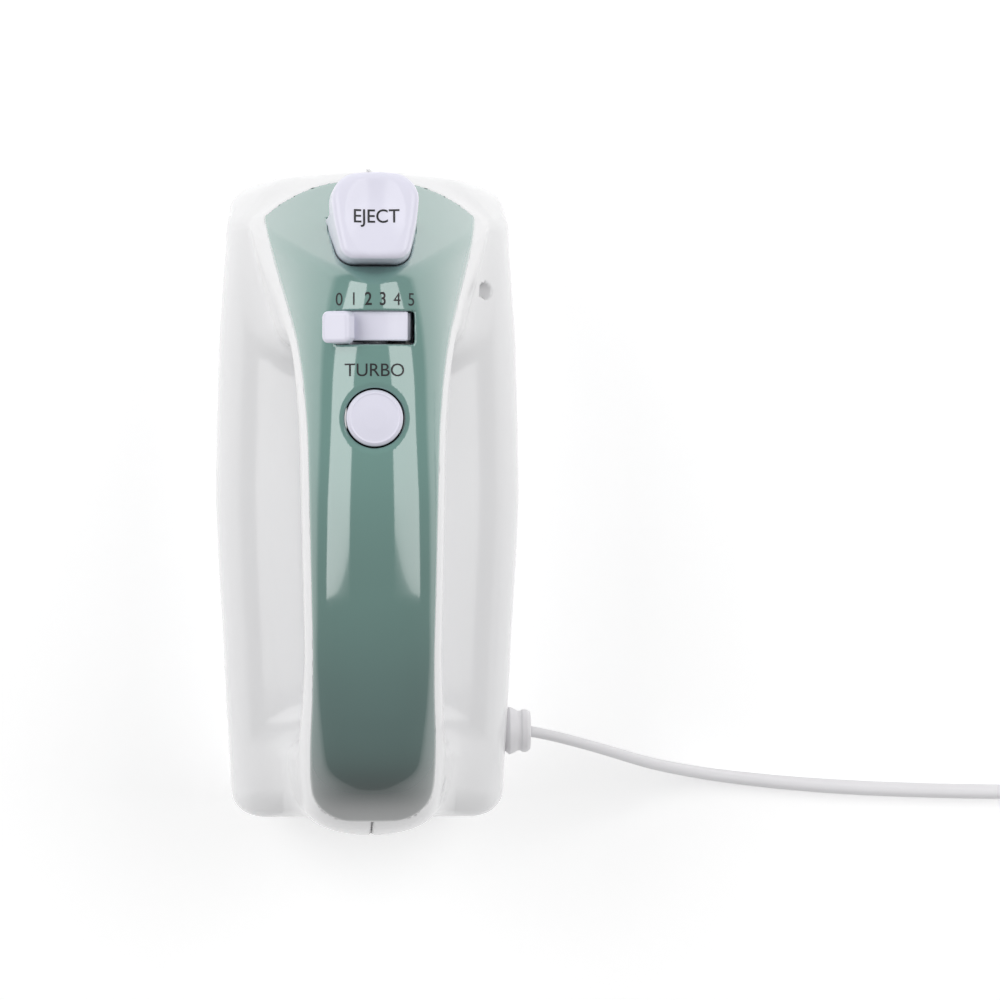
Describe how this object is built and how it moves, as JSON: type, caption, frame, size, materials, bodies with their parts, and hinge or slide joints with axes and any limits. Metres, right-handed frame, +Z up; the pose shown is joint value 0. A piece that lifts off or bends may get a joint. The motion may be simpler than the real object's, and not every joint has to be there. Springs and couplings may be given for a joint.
{
  "type": "hand mixer",
  "caption": "White electric hand mixer with a closed top handle, glossy green cover, eject button, speed selector, turbo button and coiled mains lead.",
  "frame": {"origin": "middle of the mixer's footprint, on the surface it rests on, without the mains lead", "axes": "+Z up from the flat underside, +Y towards the nose, +X towards the side that the lead leaves"},
  "size_m": [0.3303, 0.1879, 0.1375],
  "materials": {
    "white_plastic": "moulded, satin gloss",
    "green_plastic": "high gloss, smooth",
    "button_plastic": "semi gloss, cool white",
    "nylon": "natural, matt",
    "spring_steel": "drawn wire",
    "steel": "turned",
    "laminated_steel": "stacked sheet",
    "copper": "enamelled copper",
    "brass": "machined",
    "dark_plastic": "matt black",
    "carbon": "pressed carbon",
    "circuit_board": "solder resist",
    "capacitor_yellow": "potted case",
    "lead_pvc": "soft, low gloss",
    "plated_pin": "nickel plated"
  },
  "bodies": {
    "housing": {"left_shell": "white_plastic", "right_shell": "white_plastic", "top_cover": "green_plastic", "eject_spring": "spring_steel", "eject_guide": "nylon", "selector_track": "button_plastic", "selector_bracket": "nylon", "speed_switch": "dark_plastic", "detent_spring": "spring_steel", "turbo_spring": "spring_steel", "turbo_switch": "dark_plastic", "stator_core": "laminated_steel", "upper_field_coil": "copper", "lower_field_coil": "copper", "rear_bracket": "nylon", "rear_bearing": "brass", "middle_bearing": "brass", "front_bearing": "brass", "left_brush": "carbon", "right_brush": "carbon", "left_brush_holder": "brass", "right_brush_holder": "brass", "brush_springs": "spring_steel", "gear_frame": "nylon", "gear_lid": "nylon", "gear_screws": "steel", "thrust_washers": "steel", "shell_screws": "steel", "motor_screws": "steel", "spacer_tubes": "steel", "control_board": "circuit_board", "suppressor_capacitor": "capacitor_yellow", "cord_clamp": "nylon", "cord_bush": "lead_pvc", "cord": "lead_pvc", "cord_coil": "lead_pvc", "plug_lead": "lead_pvc", "plug_body": "lead_pvc", "plug_pins": "plated_pin"},
    "eject": {"eject_button": "button_plastic", "eject_yoke": "nylon"},
    "selector": {"speed_selector": "button_plastic", "selector_axle": "steel"},
    "turbo": {"turbo_button": "button_plastic"},
    "rotor": {"motor_shaft": "steel", "worm": "brass", "rotor_core": "laminated_steel", "rotor_winding": "copper", "commutator": "copper", "cooling_fan": "dark_plastic"},
    "left_drive": {"left_spindle": "steel", "left_gear": "nylon"},
    "right_drive": {"right_spindle": "steel", "right_gear": "nylon"}
  },
  "joints": [
    {"name": "eject_press", "type": "slide", "parent": "housing", "child": "eject", "axis": [0, 0, -1], "range_m": [0, 0.008], "stiffness_N_per_m": 900, "springref_m": -0.003, "deforming": ["eject_spring"]},
    {"name": "selector_turn", "type": "hinge", "parent": "housing", "child": "selector", "pos_m": [0, 0.044, 0.1078], "axis": [0, 1, 0], "range_deg": [0, 51]},
    {"name": "turbo_press", "type": "slide", "parent": "housing", "child": "turbo", "axis": [0, 0, -1], "range_m": [0, 0.0025], "stiffness_N_per_m": 700, "springref_m": -0.002, "deforming": ["turbo_spring"]},
    {"name": "motor_turn", "type": "hinge", "parent": "housing", "child": "rotor", "pos_m": [0, 0.064, 0.036], "axis": [0, 1, 0], "continuous": true},
    {"name": "left_spindle_turn", "type": "hinge", "parent": "housing", "child": "left_drive", "pos_m": [-0.018, 0.064, 0.036], "axis": [0, 0, 1], "continuous": true},
    {"name": "right_spindle_turn", "type": "hinge", "parent": "housing", "child": "right_drive", "pos_m": [0.018, 0.064, 0.036], "axis": [0, 0, 1], "continuous": true}
  ],
  "couplings": [
    {"joint": "left_spindle_turn", "follows": "motor_turn", "ratio": -0.035714},
    {"joint": "right_spindle_turn", "follows": "motor_turn", "ratio": 0.035714}
  ]
}
